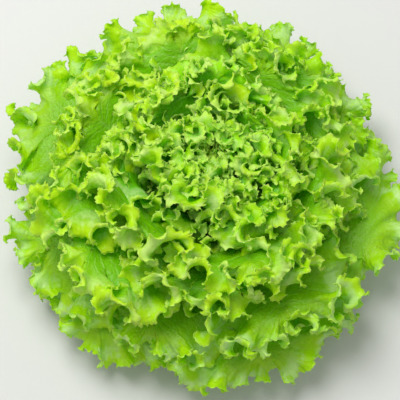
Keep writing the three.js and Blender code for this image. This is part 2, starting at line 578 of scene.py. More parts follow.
    def step(self, points: np.ndarray, speed: np.ndarray, growth: float) -> None:
        """Advances all the blades by one step of position based dynamics.

        Args:
            points: all the grids, changed in place.
            speed: each point's last move, changed in place.
            growth: share of this stage's own surplus growth that has happened so far.
        """
        tissue, every = self.tissue, slice(None)
        before = points.copy()
        points += speed * REAL(tissue.damping)
        points[..., 2] -= REAL(tissue.weight) * self.loose
        hoop = self.hoop_before + (self.hoop - self.hoop_before) * REAL(growth)
        columns, rows = self.stage.columns, self.stage.rows
        for a, b in strands(columns, 1):
            self._relax(points, (every, a), (every, b), hoop[:, a], tissue.stretch)
        for a, b in strands(rows, 1):
            rest = self.vein[:, :, a]
            self._relax(points, (every, every, a), (every, every, b), rest, tissue.stretch)
        inner, outer = slice(None, -1), slice(1, None)
        for a, b in strands(columns, 1):
            rising, falling = (rest[:, a] for rest in self.diagonals)
            self._relax(points, (every, a, inner), (every, b, outer), rising, tissue.shear)
            self._relax(points, (every, b, inner), (every, a, outer), falling, tissue.shear)
        wide_hoop = hoop[:, :-1] + hoop[:, 1:]
        for a, b in strands(columns, 2):
            self._relax(points, (every, a), (every, b), wide_hoop[:, a], self.stage.stiffness, True)
        long_vein = self.vein[:, :, :-1] + self.vein[:, :, 1:]
        for a, b in strands(rows, 2):
            rest = long_vein[:, :, a]
            self._relax(points, (every, every, a), (every, every, b), rest, self.stage.stiffness, True)
        self._join_rib(points)
        points += self.hold[..., None] * (self.target - points)
        lift = np.einsum("...i,...i->...", points - self.target, self.lift_way)
        beyond = lift - np.clip(lift, -self.room, self.room)
        points -= (REAL(0.5) * beyond)[..., None] * self.lift_way
        np.maximum(points[..., 2], REAL(tissue.ground), out=points[..., 2])
        speed[:] = points - before
        speed *= np.minimum(1.0, tissue.fastest / (lengths(speed) + 1e-9))[..., None]

    def _join_rib(self, points: np.ndarray) -> None:
        """Keeps the two halves of each blade together on the rib, and the blade open across it.

        Args:
            points: all the grids, changed in place.
        """
        half = self.stage.columns // 2
        left, right = points[:, :half, 1], points[:, ::-1][:, :half, 1]
        gap = right - left
        length = lengths(gap) + REAL(1e-6)
        push = (REAL(0.15) * np.minimum(length - self.rib_span[:, :half], 0.0) / length)[..., None]
        left += push * gap
        right -= push * gap
        points[:, :, 0] = 0.5 * (points[:, :, 0] + points[:, ::-1, 0])

    # -------------------------------------------------------- contacts between leaves

    def _prepare_contacts(self) -> None:
        """Contact distance of each loose point: never more than the nested surfaces leave free."""
        grid = self.stage.columns * self.stage.rows
        loose = (self.out[None, None, :] > 0.3) & (self.along[..., None] > 0.12)
        self.movable = np.flatnonzero(loose.reshape(-1))
        points = self.target.reshape(-1, 3)[self.movable]
        reach = np.full(len(points), self.stage.contact, REAL)
        first, second = near_pairs(points, self.stage.contact)
        apart = self.movable[first] // grid != self.movable[second] // grid
        first, second = first[apart], second[apart]
        gap = lengths(points[second] - points[first])
        np.minimum.at(reach, first, gap)
        np.minimum.at(reach, second, gap)
        self.contact_reach = 0.92 * reach

    def find_contacts(self, points: np.ndarray) -> None:
        """Lists the pairs of points that are close enough to touch within a few steps.

        Args:
            points: all the grids.
        """
        if self.contacts is None:
            self._prepare_contacts()
        fine = self.stage.fine_contact
        everyone = np.arange(len(self.movable))
        wide = np.flatnonzero(self.contact_reach > fine)
        found = [
            self._touching(points, everyone, fine + 0.3, 0.0, fine),
            self._touching(points, wide, self.stage.contact, fine, math.inf),
        ]
        self.contacts = tuple(np.concatenate(parts) for parts in zip(*found))

    def _touching(self, points: np.ndarray, members: np.ndarray, search: float, above: float,
                  upto: float) -> tuple[np.ndarray, np.ndarray, np.ndarray]:
        """Pairs among some of the movable points whose contact distance lies in a range.

        Args:
            points: all the grids.
            members: numbers of the movable points to look at.
            search: distance to search within.
            above: smallest contact distance, not included.
            upto: largest contact distance.

        Returns:
            Two arrays of point numbers, and the contact distance of each pair.
        """
        rows, grid = self.stage.rows, self.stage.columns * self.stage.rows
        flat = points.reshape(-1, 3)
        chosen = self.movable[members]
        first, second = near_pairs(flat[chosen], search)
        touch = np.minimum(self.contact_reach[members[first]], self.contact_reach[members[second]])
        first, second = chosen[first], chosen[second]
        same_leaf = first // grid == second // grid
        columns_apart = np.abs((first % grid) // rows - (second % grid) // rows)
        in_range = (touch > above) & (touch <= upto) & (~same_leaf | (columns_apart > 6))
        touch = np.where(same_leaf, np.minimum(touch, 1.2), touch)
        close = lengths(flat[second] - flat[first]) < touch + 0.7
        keep = in_range & close
        return first[keep], second[keep], touch[keep].astype(REAL)

    def push_apart(self, points: np.ndarray, speed: np.ndarray) -> None:
        """Moves touching points out of each other's way.

        Args:
            points: all the grids, changed in place.
            speed: each point's last move, changed in place.
        """
        first, second, touch = self.contacts
        flat = points.reshape(-1, 3)
        gap = flat[second] - flat[first]
        length = lengths(gap) + REAL(1e-6)
        deep = np.flatnonzero(length < touch)
        first, second, gap = first[deep], second[deep], gap[deep]
        loose = self.loose.reshape(-1)
        error = REAL(0.5) * (length[deep] - touch[deep]) / length[deep]
        pull = (error / (loose[first] + loose[second]))[:, None] * gap
        count = len(flat)
        load = np.bincount(first, minlength=count) + np.bincount(second, minlength=count)
        ease = 1.0 / np.maximum(1.0, 0.5 * load)
        for axis in range(3):
            move = np.bincount(first, pull[:, axis] * loose[first], minlength=count)
            move -= np.bincount(second, pull[:, axis] * loose[second], minlength=count)
            move = (move * ease).astype(REAL)
            flat[:, axis] += move
            speed.reshape(-1, 3)[:, axis] += REAL(0.3) * move


def strands(size: int, span: int) -> list[tuple[slice, slice]]:
    """Slices of edge ends along an axis, in families that share no point.

    Args:
        size: number of points on the axis.
        span: number of steps that an edge spans.

    Returns:
        A pair of slices for each family, the first ends and the other ends.
    """
    return [
        (slice(start, size - span, 2 * span), slice(start + span, size, 2 * span))
        for start in range(2 * span)
    ]


def face_up(points: np.ndarray) -> np.ndarray:
    """Finds the side of each blade that faces the heart.

    Args:
        points: grids of points.

    Returns:
        Unit normals, one a point.
    """
    rows_way = np.gradient(points, axis=-2)
    columns_way = np.gradient(points, axis=-3)
    normal = np.cross(rows_way, columns_way)
    return normal / (lengths(normal)[..., None] + 1e-9)


def grow_blades(leaves: Leaves, tissue: Tissue) -> tuple[np.ndarray, GrowingBlades]:
    """Grows all the blades, from coarse grids to fine ones.

    Args:
        leaves: sizes of the leaves.
        tissue: growth and stiffness.

    Returns:
        The grown grids, and the last stage's blades.
    """
    rng = np.random.default_rng(SEED + 2)
    points, blades = None, None
    size = leaves.relative_length()
    for number, stage in enumerate(tissue.stages):
        old = blades
        blades = GrowingBlades(leaves, tissue, stage)
        if old is None:
            points, up = blades.target.copy(), blades.lift_way
        else:
            rows = np.interp(blades.out, old.out, np.arange(old.stage.rows))
            points = through_points(points, np.linspace(0, old.stage.columns - 1, stage.columns), 1)
            points = np.ascontiguousarray(through_points(points, rows, 2)).astype(REAL)
            up = face_up(points)
        low, high, height, power = stage.seeds
        seeds = wander(rng, len(size), np.linspace(0.0, 1.0, stage.columns), low, high)
        seeds *= height * size[:, None] * smooth_step(blades.along, 0.06, 0.3)
        points += ((seeds[..., None] * blades.out**power)[..., None] * up).astype(REAL)
        speed = np.zeros_like(points)
        for step in range(stage.steps):
            blades.step(points, speed, min(1.0, (step + 1) / (0.7 * stage.steps)))
            if stage.contact and step >= stage.contact_from:
                if step % 8 == 0 or blades.contacts is None:
                    blades.find_contacts(points)
                blades.push_apart(points, speed)
        LOG.info("growth stage %d of %d done", number + 1, len(tissue.stages))
    return points, blades


# ---------------------------------------------------------------- finishes


class Graph:
    """Short way to add and join nodes in one node tree."""

    def __init__(self, tree: bpy.types.NodeTree) -> None:
        """Takes the tree that the nodes go in."""
        self.tree = tree

    def add(self, kind: str, inputs: dict | None = None, **settings: object) -> bpy.types.Node:
        """Adds a node.

        Args:
            kind: the node's type, without its Shader prefix.
            inputs: a value, or another node's output, for each input named or numbered.
            **settings: the node's own options.

        Returns:
            The new node.
        """
        node = self.tree.nodes.new("ShaderNode" + kind)
        for name, value in settings.items():
            setattr(node, name, value)
        for name, value in (inputs or {}).items():
            if isinstance(value, bpy.types.NodeSocket):
                self.tree.links.new(value, node.inputs[name])
            else:
                node.inputs[name].default_value = value
        return node

    def math(self, operation: str, *values: object, clamp: bool = False) -> bpy.types.NodeSocket:
        """Output of a Math node with these values."""
        node = self.add("Math", dict(enumerate(values)), operation=operation, use_clamp=clamp)
        return node.outputs[0]

    def around(self, value: object, size: float) -> bpy.types.NodeSocket:
        """A value from 0 to 1 turned into one that swings about 0, this many times as large."""
        return self.math("MULTIPLY", self.math("SUBTRACT", value, 0.5), size)

    def attribute(self, name: str) -> bpy.types.NodeSocket:
        """A number that each point of the mesh holds."""
        return self.add("Attribute", attribute_name=name).outputs["Fac"]

    def ramp(self, value: object, low: float, high: float, to: tuple[float, float] = (0.0, 1.0)
             ) -> bpy.types.NodeSocket:
        """Smooth rise of a value, mapped to a range.

        Args:
            value: the value.
            low: where the rise starts.
            high: where the rise ends.
            to: results at the start and at the end.

        Returns:
            The mapped value.
        """
        node = self.add("MapRange", {"Value": value}, interpolation_type="SMOOTHSTEP")
        for name, number in zip(("From Min", "From Max", "To Min", "To Max"), (low, high, *to)):
            node.inputs[name].default_value = number
        return node.outputs[0]

    def blend(self, share: object, first: object, second: object) -> bpy.types.NodeSocket:
        """Colour between two colours."""
        return self.add("Mix", {"Factor": share, 6: first, 7: second}, data_type="RGBA").outputs[2]

    def noise(self, place: object, scale: float, detail: float = 2.0, rough: float = 0.5
              ) -> bpy.types.NodeSocket:
        """Value of a noise texture."""
        inputs = {"Vector": place, "Scale": scale, "Detail": detail, "Roughness": rough}
        return self.add("TexNoise", inputs).outputs["Fac"]


def new_material(name: str) -> tuple[bpy.types.Material, Graph, bpy.types.Node]:
    """Starts a material.

    Args:
        name: the material's name.

    Returns:
        The material, its graph and its shader.
    """
    material = bpy.data.materials.new(name)
    material.use_nodes = True
    return material, Graph(material.node_tree), material.node_tree.nodes["Principled BSDF"]


def new_group(name: str, inputs: dict[str, tuple[str, object]], outputs: dict[str, str]
              ) -> tuple[Graph, bpy.types.Node, bpy.types.Node]:
    """Starts a shader node group.

    Args:
        name: the group's name.
        inputs: type and default value of each input.
        outputs: type of each output.

    Returns:
        The group's graph, its input node and its output node.
    """
    tree = bpy.data.node_groups.new(name, "ShaderNodeTree")
    for label, (kind, value) in inputs.items():
        socket = tree.interface.new_socket(label, in_out="INPUT", socket_type="NodeSocket" + kind)
        socket.default_value = value
    for label, kind in outputs.items():
        tree.interface.new_socket(label, in_out="OUTPUT", socket_type="NodeSocket" + kind)
    return Graph(tree), tree.nodes.new("NodeGroupInput"), tree.nodes.new("NodeGroupOutput")


@dataclass(frozen=True)
class LeafTissueGroup:
    """Node group painting one leaf: tone from rib to margin with painted shade and sheen, veins, relief.
    """

    name: str = "leaf_tissue"
    # the first colour is painted shade, the last painted sheen that also tints ribs and veins
    colours: tuple[str, ...] = ("Painted Shade", "Blade", "Yellow Blade", "Frill", "Pale", "Painted Sheen And Vein Tint")
    amounts: tuple[str, ...] = ("Painted Sheen Share", "Band", "Fade")
    # veins: how many, how far they bend, where a line starts and ends, and where they fade out
    veins_per_side: float = 11.0
    vein_bend: float = 0.10
    vein_line: tuple[float, float] = (0.36, 0.5)
    vein_fade: tuple[float, float] = (0.2, 0.9)
    vein_paleness: float = 0.15
    rib_width: float = 0.07
    # sizes of the noises and of the net of small veins, in cells a millimetre
    net_cells: float = 0.22
    broad: float = 0.045
    patches: float = 0.13
    clouds: float = 0.07
    grain: float = 0.5
    fine_grain: float = 1.3
    # streaks from rib to margin: how many across, along, and how unlike on two leaves
    streaks: tuple[float, float, float] = (70.0, 3.0, 40.0)
    # ranges over which one tone gives way to the next, painted shade, painted sheen and margin highlight
    # among them
    painted_shade_fade: tuple[float, float] = (0.1, 0.75)
    cloud_rise: tuple[float, float] = (0.45, 0.66)
    painted_sheen_rise: tuple[float, float] = (0.4, 0.8)
    margin_line: tuple[float, float] = (0.15, 1.0)
    # hue, saturation and value of the light that comes through, against the tone's own
    glow: tuple[float, float, float] = (0.518, 1.2, 1.1)
    roughness: tuple[float, float] = (0.32, 0.26)
    # heights of the net, of the grain, of a vein and of a streak
    heights: tuple[float, float, float, float] = (0.9, 0.35, -0.8, 0.35)

    def build(self) -> bpy.types.NodeTree:
        """Makes the group once.

        Returns:
            The group.
        """
        if self.name in bpy.data.node_groups:
            return bpy.data.node_groups[self.name]
        inputs = {label: ("Color", WHITE) for label in self.colours}
        inputs |= {label: ("Float", 1.0) for label in self.amounts}
        outputs = {"Color": "Color", "Glow": "Color", "Roughness": "Float", "Height": "Float"}
        graph, given, result = new_group(self.name, inputs, outputs)
        out, turn, tint = (graph.attribute(name) for name in ("out", "turn", "tint"))
        place = graph.add("UVMap", uv_map="blade").outputs["UV"]
        patch = graph.noise(place, self.patches, 3.0)
        ways = [graph.math("MULTIPLY", *pair) for pair in zip((turn, out, tint), self.streaks)]
        radial = graph.add("CombineXYZ", dict(enumerate(ways))).outputs[0]
        streak = graph.math("SUBTRACT", graph.noise(radial, 1.0, 3.0), 0.5)
        count = graph.math("ADD", turn, graph.around(patch, self.vein_bend))
        count = graph.math("MULTIPLY", count, self.veins_per_side)
        line = graph.math("ABSOLUTE", graph.math("SUBTRACT", graph.math("FRACT", count), 0.5))
        vein = graph.ramp(out, *self.vein_fade, (1.0, 0.0))
        vein = graph.math("MULTIPLY", graph.ramp(line, *self.vein_line), vein)
        tone = self._tone(graph, given.outputs, place, patch, streak, vein)
        turned = dict(zip(("Hue", "Saturation", "Value"), self.glow))
        glow = graph.add("HueSaturation", {"Color": tone} | turned)
        smooth, rougher = self.roughness
        uneven = graph.math("MULTIPLY", graph.noise(place, self.grain, 3.0), rougher)
        made = {"Color": tone, "Glow": glow.outputs[0], "Roughness": graph.math("ADD", smooth, uneven),
                "Height": self._relief(graph, place, streak, vein)}
        for label, value in made.items():
            graph.tree.links.new(value, result.inputs[label])
        return graph.tree

    def _tone(self, graph: Graph, given: bpy.types.NodeOutputs, place: bpy.types.NodeSocket,
              patch: bpy.types.NodeSocket, streak: bpy.types.NodeSocket, vein: bpy.types.NodeSocket
              ) -> bpy.types.NodeSocket:
        """Paints the blade from its rib to its margin.

        Args:
            graph: the group's nodes.
            given: the group's colours and amounts.
            place: place on the flat leaf.
            patch: noise in patches.
            streak: streaks from rib to margin, about 0.
            vein: 1 on a vein and 0 beside it.

        Returns:
            The colour.
        """
        out, edge = graph.attribute("out"), graph.attribute("edge")
        inward = graph.math("MULTIPLY", edge, EDGE_REACH)
        broad = graph.noise(place, self.broad, 3.0)
        # from the deep tone near the rib, painted shade for the hollows, to the blade's own, which is
        # yellower on some leaves
        tint = graph.math("ADD", graph.attribute("tint"), graph.math("SUBTRACT", broad, 0.5), clamp=True)
        blade = graph.blend(tint, given["Blade"], given["Yellow Blade"])
        shade = graph.math("MULTIPLY", graph.math("ADD", edge, graph.around(broad, 0.5)), given["Fade"])
        tone = graph.blend(graph.ramp(shade, *self.painted_shade_fade), blade, given["Painted Shade"])
        # painted sheen in clouds and streaks, where the satin blade would reflect the light
        cloudy = graph.math("MULTIPLY", streak, 0.45)
        cloudy = graph.math("ADD", graph.noise(place, self.clouds, 2.0), cloudy)
        shown = graph.ramp(out, *self.painted_sheen_rise)
        shown = graph.math("MULTIPLY", graph.ramp(cloudy, *self.cloud_rise), shown)
        painted_sheen_and_vein_tint = graph.math("MULTIPLY", shown, given["Painted Sheen Share"])
        tone = graph.blend(painted_sheen_and_vein_tint, tone, given["Painted Sheen And Vein Tint"])
        # the frilled band, the pale ribs and veins, and the line of the margin: paler tissue with
        # painted highlight on the edge
        share = graph.math("DIVIDE", inward, given["Band"])
        share = graph.math("ADD", share, graph.around(patch, 1.4))
        tone = graph.blend(graph.ramp(share, 0.0, 1.0, (0.6, 0.0)), tone, given["Frill"])
        pale = graph.math("MAXIMUM", vein, graph.ramp(out, 0.0, self.rib_width, (1.0, 0.0)))
        tone = graph.blend(graph.math("MULTIPLY", pale, self.vein_paleness), tone, given["Painted Sheen And Vein Tint"])
        return graph.blend(graph.ramp(inward, *self.margin_line, (0.95, 0.0)), tone, given["Pale"])

    def _relief(self, graph: Graph, place: bpy.types.NodeSocket, streak: bpy.types.NodeSocket,
                vein: bpy.types.NodeSocket) -> bpy.types.NodeSocket:
        """Raises the net of small veins and sinks the large ones.

        Args:
            graph: the group's nodes.
            place: place on the flat leaf.
            streak: streaks from rib to margin, about 0.
            vein: 1 on a vein and 0 beside it.

        Returns:
            The height for a bump.
        """
        cells = graph.add("TexVoronoi", {"Vector": place, "Scale": self.net_cells},
                          feature="DISTANCE_TO_EDGE").outputs["Distance"]
        net = graph.ramp(cells, 0.0, 0.35)
        grains = graph.noise(place, self.fine_grain, 2.0)
        relief = 0.0
        for value, size in zip((net, grains, vein, streak), self.heights):
            relief = graph.math("ADD", relief, graph.math("MULTIPLY", value, size))
        return relief


@dataclass(frozen=True)
class LeafFinish:
    """Satin leaf tissue that lets light through, in the colours of one group of leaves."""

    name: str
    # deep is painted shade for the hollows away from the margin; fade sets how soon it comes in
    deep: tuple[float, float, float]
    blade: tuple[float, float, float]
    yellow_blade: tuple[float, float, float]
    frill: tuple[float, float, float]
    # pale is the margin line: paler tissue with a painted highlight along the thin edge
    pale: tuple[float, float, float]
    # the sheen colour is painted sheen on the blade, and also the pale tint of ribs and veins
    painted_sheen_and_vein_tint: tuple[float, float, float]
    painted_sheen_share: float
    band: float
    fade: float
    seen_through: float = 0.40
    relief: float = 0.5
    gloss: float = 0.7

    def build(self) -> bpy.types.Material:
        """Makes the material.

        Returns:
            The material.
        """
        material, graph, shader = new_material(self.name)
        group = LeafTissueGroup()
        tissue = graph.add("Group", node_tree=group.build())
        colours = (self.deep, self.blade, self.yellow_blade, self.frill, self.pale, self.painted_sheen_and_vein_tint)
        for label, colour in zip(group.colours, colours):
            tissue.inputs[label].default_value = (*colour, 1.0)
        for label, amount in zip(group.amounts, (self.painted_sheen_share, self.band, self.fade)):
            tissue.inputs[label].default_value = amount
        links = graph.tree.links
        links.new(tissue.outputs["Color"], shader.inputs["Base Color"])
        links.new(tissue.outputs["Roughness"], shader.inputs["Roughness"])
        bump = graph.add("Bump", {"Height": tissue.outputs["Height"], "Strength": self.relief,
                                  "Distance": 0.0006})
        links.new(bump.outputs[0], shader.inputs["Normal"])
        shader.inputs["IOR"].default_value = 1.45
        shader.inputs["Specular IOR Level"].default_value = self.gloss
        through = graph.add("BsdfTranslucent", {"Color": tissue.outputs["Glow"],
                                                "Normal": bump.outputs[0]})
        mix = graph.add("MixShader", {0: self.seen_through, 1: shader.outputs[0],
                                      2: through.outputs[0]})
        links.new(mix.outputs[0], graph.tree.nodes["Material Output"].inputs["Surface"])
        return material


# ---------------------------------------------------------------- leaf blades as meshes


@dataclass(frozen=True)
class Frill:
    """Detail that is finer than the simulated grid, all in millimetres."""

    wave_length: float = 6.5
    wave_height: float = 1.1
    wave_depth: float = 3.6
    tooth_width: float = 3.3
    tooth_height: float = 2.0
    tooth_depth: float = 2.0
    lobe_width: float = 11.0
    lobe_height: float = 3.0
    lobe_depth: float = 6.0
    blister_size: float = 13.0
    blister_height: float = 0.7
    blister_waves: int = 7
    tooth_roundness: float = 1.2
    lobe_roundness: float = 2.4

    @staticmethod
    def scallops(walked: np.ndarray, width: float, roundness: float, rng: np.random.Generator
                 ) -> tuple[np.ndarray, np.ndarray]:
        """Uneven scallops along a margin, with sharp notches between them.

        Args:
            walked: distance along the margin.
            width: mean width of a scallop.
            roundness: power of the profile, 1 for a pointed tooth and more for a round lobe.
            rng: source of the scallops' sizes.

        Returns:
            How far the margin stands out, and how far it curls off the blade, from 0 to about 1.
        """
        count = int(walked[-1] / width) + 2
        widths = rng.uniform(0.5, 1.5, count)
        ends = np.concatenate([[0.0], np.cumsum(widths) / widths.sum()]) * walked[-1]
        number = np.clip(np.searchsorted(ends, walked, "right") - 1, 0, count - 1)
        share = (walked - ends[number]) / (ends[number + 1] - ends[number])
        height = rng.uniform(0.3, 0.9, count) + 0.4 * (rng.uniform(0.0, 1.0, count) > 0.75)
        profile = height[number] * (1.0 - np.abs(2.0 * share - 1.0) ** roundness)
        return profile, profile * rng.uniform(-1.0, 1.0, count)[number]


@dataclass
class LeafLayer:
    """One group of leaves: how fine its meshes are, how thick it is and how it is finished."""

    group: LeafGroup
    margin_columns: int
    finish: LeafFinish
    frill: Frill
    margin: float = 0.12
    blade: float = 0.3
    rib: float = 3.0
    # rows from the rib to the margin, and how many margin columns one of a row's columns spans
    rows: tuple[tuple[float, int], ...] = (
        (0.0, 8), (0.04, 8), (0.1, 8), (0.2, 8), (0.31, 8), (0.42, 8), (0.52, 8), (0.62, 4),
        (0.71, 4), (0.79, 2), (0.86, 2), (0.92, 2), (0.965, 1), (1.0, 1),
    )

    def build(self, points: np.ndarray, blades: GrowingBlades, first_rank: int) -> list:
        """Makes the group's leaves.

        Args:
            points: the grown grids of all the leaves.
            blades: the last stage of growth.
            first_rank: rank of the group's oldest leaf.

        Returns:
            The finished pieces.
        """
        material = self.finish.build()
        pieces = []
        for number, node in enumerate(self.group.nodes()):
            piece = self._leaf(node + "_blade", points, blades, first_rank + number)
            piece.data.materials.append(material)
            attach(piece, "root")
            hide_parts(node)
            pieces.append(piece)
        return pieces

    def _leaf(self, name: str, points: np.ndarray, blades: GrowingBlades, rank: int
              ) -> bpy.types.Object:
        """Makes one leaf: its fine grid, its frills, its mesh and its thickness.

        Args:
            name: the piece's name.
            points: the grown grids of all the leaves.
            blades: the last stage of growth.
            rank: the leaf's number, oldest first.

        Returns:
            The leaf, without its material.
        """
        columns = np.linspace(0, points.shape[1] - 1, self.margin_columns + 1)
        outs = np.array([out for out, _ in self.rows])
        rows = np.interp(outs, blades.out, np.arange(len(blades.out)))
        flat = np.stack([blades.reach[rank], blades.side[rank]], -1)

        def finer(grid: np.ndarray) -> np.ndarray:
            """The same surface on the mesh's own columns and rows."""
            return through_points(through_points(grid, columns, 0), rows, 1)

        grid, flat = finer(points[rank].astype(float)), finer(flat)
        along = through_points(blades.along[rank], columns, 0)
        grid = self._frilled(grid, flat, along, np.random.default_rng(SEED * 1000 + rank))
        grid[:, 0] = 0.5 * (grid[:, 0] + grid[::-1, 0])
        numbers, faces = self._lattice()
        mesh = bpy.data.meshes.new(name)
        kept = numbers >= 0
        order = np.argsort(numbers[kept], kind="stable")
        own = np.unique(numbers[kept][order], return_index=True)[1]
        pick = np.flatnonzero(kept.reshape(-1))[order][own]
        mesh.from_pydata((grid.reshape(-1, 3)[pick] * MM).tolist(), [], faces)
        out = np.broadcast_to(outs, kept.shape).reshape(-1)[pick]
        turn = np.broadcast_to(np.linspace(-1, 1, kept.shape[0])[:, None], kept.shape).reshape(-1)[pick]
        from_edge = lengths(flat - flat[:, -1:]).reshape(-1)[pick]
        self._attribute(mesh, "out", out)
        self._attribute(mesh, "turn", np.abs(turn))
        self._attribute(mesh, "tint", np.full(len(pick), (rank * 0.618) % 1.0))
        self._attribute(mesh, "edge", np.clip(from_edge / EDGE_REACH, 0.0, 1.0))
        self._chart(mesh, flat.reshape(-1, 2)[pick])
        piece = bpy.data.objects.new(name, mesh)
        bpy.context.scene.collection.objects.link(piece)
        self._thicken(piece, flat.reshape(-1, 2)[pick], np.broadcast_to(
            along[:, None], kept.shape).reshape(-1)[pick], from_edge)
        return piece

    def _frilled(self, grid: np.ndarray, flat: np.ndarray, along: np.ndarray,
                 rng: np.random.Generator) -> np.ndarray:
        """Adds fine waves, lobes and teeth to the margin, and blisters to the blade.

        Args:
            grid: the leaf's points.
            flat: each point's place on the flat leaf.
            along: each column's place from the base at 0 to the tip at 1.
            rng: source of the leaf's own differences.

        Returns:
            The moved points.
        """
        frill = self.frill
        up = face_up(grid)
        edge_step = lengths(np.diff(grid[:, -1], axis=0))
        walked = np.concatenate([[0.0], np.cumsum(edge_step)])
        total = walked[-1]
        share = walked / total
        fade = smooth_step(along, 0.08, 0.3)
        from_edge = lengths(flat - flat[:, -1:])
        patchy = 0.55 + 0.45 * wander(rng, 1, share, 6, 20)[0]
        waves = total / frill.wave_length
        wave = wander(rng, 1, share, 0.7 * waves, 1.3 * waves)[0] * patchy * fade
        lift = frill.wave_height * wave[:, None] * np.exp(-from_edge / frill.wave_depth)
        blister = np.zeros(from_edge.shape)
        for _ in range(frill.blister_waves):
            heading = rng.uniform(0.0, 2.0 * np.pi)
            rate = 2.0 * np.pi / (frill.blister_size * rng.uniform(0.7, 1.5))
            across = flat[..., 0] * math.cos(heading) + flat[..., 1] * math.sin(heading)
            blister += np.sin(across * rate + rng.uniform(0.0, 2.0 * np.pi))
        lift += frill.blister_height * (np.abs(blister) / 2.2 - 0.5) * fade[:, None]
        way = grid[:, -1] - grid[:, -3]
        way /= lengths(way)[:, None] + 1e-9
        push = np.zeros(from_edge.shape)
        for width, height, depth, roundness in (
            (frill.lobe_width, frill.lobe_height, frill.lobe_depth, frill.lobe_roundness),
            (frill.tooth_width, frill.tooth_height, frill.tooth_depth, frill.tooth_roundness),
        ):
            stand, curl = frill.scallops(walked, width, roundness, rng)
            near = height * fade[:, None] * np.exp(-from_edge / depth)
            lift += 0.7 * curl[:, None] * near
            push += (stand - 0.45)[:, None] * near
        grid = grid + lift[..., None] * up + push[..., None] * way[:, None]
        grid[..., 2] = np.maximum(grid[..., 2], 0.9)
        return grid

    def _lattice(self) -> tuple[np.ndarray, list[tuple[int, ...]]]:
        """Numbers the points that the mesh keeps, and lists its faces.

        Returns:
            A grid of point numbers, -1 where a coarse row skips a point, and the faces.
        """
        width = self.margin_columns + 1
        numbers = np.full((width, len(self.rows)), -1)
        half = self.margin_columns // 2
        used = 0
        for row, (_, span) in enumerate(self.rows):
            if row == 0:
                numbers[: half + 1 : span, 0] = np.arange(half // span + 1)
                numbers[half::span, 0] = numbers[half::-span, 0]
                used = half // span + 1
                continue
            count = self.margin_columns // span + 1
            numbers[::span, row] = np.arange(used, used + count)
            used += count
        faces: list[tuple[int, ...]] = []
        for row in range(len(self.rows) - 1):
            span, finer = self.rows[row][1], self.rows[row + 1][1]
            near, far = numbers[::span, row], numbers[::finer, row + 1]
            if span == finer:
                faces += zip(near[:-1], far[:-1], far[1:], near[1:])
            else:
                faces += zip(near[:-1], far[:-1:2], far[1::2])
                faces += zip(near[:-1], far[1::2], near[1:])
                faces += zip(near[1:], far[1::2], far[2::2])
        return numbers, [tuple(int(n) for n in face) for face in faces]

    @staticmethod
    def _attribute(mesh: bpy.types.Mesh, name: str, values: np.ndarray) -> None:
        """Stores one number a point under a name that the finish reads."""
        layer = mesh.attributes.new(name, "FLOAT", "POINT")
        layer.data.foreach_set("value", values.astype(REAL))

    @staticmethod
    def _chart(mesh: bpy.types.Mesh, flat: np.ndarray) -> None:
        """Stores the flat leaf, in millimetres, as the UV map that the finish reads.

        Args:
            mesh: the leaf's mesh.
            flat: each point's place on the flat leaf.
        """
        chart = mesh.uv_layers.new(name="blade")
        corners = np.empty(len(mesh.loops), np.int32)
        mesh.loops.foreach_get("vertex_index", corners)
        chart.data.foreach_set("uv", flat[corners].astype(REAL).reshape(-1))

    def _thicken(self, piece: bpy.types.Object, flat: np.ndarray, along: np.ndarray,
                 from_edge: np.ndarray) -> None:
        """Gives the blade its thickness, with a fleshy rib on its underside.

        Args:
            piece: the leaf as a single skin.
            flat: each point's place on the flat leaf.
            along: each point's share of the way from the leaf's base to its tip.
            from_edge: each point's distance from the margin.
        """
        group = piece.vertex_groups.new(name="flesh")
        half_rib = lerp(5.0, 0.8, along)
        flesh = np.exp(-((flat[:, 1] / half_rib) ** 2)) * (1.0 - along) ** 1.2
        sheet = lerp(self.margin, self.blade, smooth_step(from_edge, 0.0, 4.0))
        thick = np.maximum(sheet, self.rib * flesh)
        for number, weight in enumerate((thick - self.margin) / (self.rib - self.margin)):
            group.add([number], float(weight), "REPLACE")
        select_only(piece)
        bpy.ops.object.shade_smooth()
        solid = piece.modifiers.new("thickness", "SOLIDIFY")
        solid.thickness = self.rib * MM
        solid.offset = -1.0
        solid.vertex_group = group.name
        solid.thickness_vertex_group = self.margin / self.rib
        solid.use_flat_faces = True
        bpy.ops.object.modifier_apply(modifier=solid.name)
        piece.vertex_groups.clear()


def select_only(piece: bpy.types.Object) -> None:
    """Makes one object the only one that operators act on.

    Args:
        piece: the object.
    """
    bpy.ops.object.select_all(action="DESELECT")
    piece.select_set(True)
    bpy.context.view_layer.objects.active = piece


# ---------------------------------------------------------------- the stem


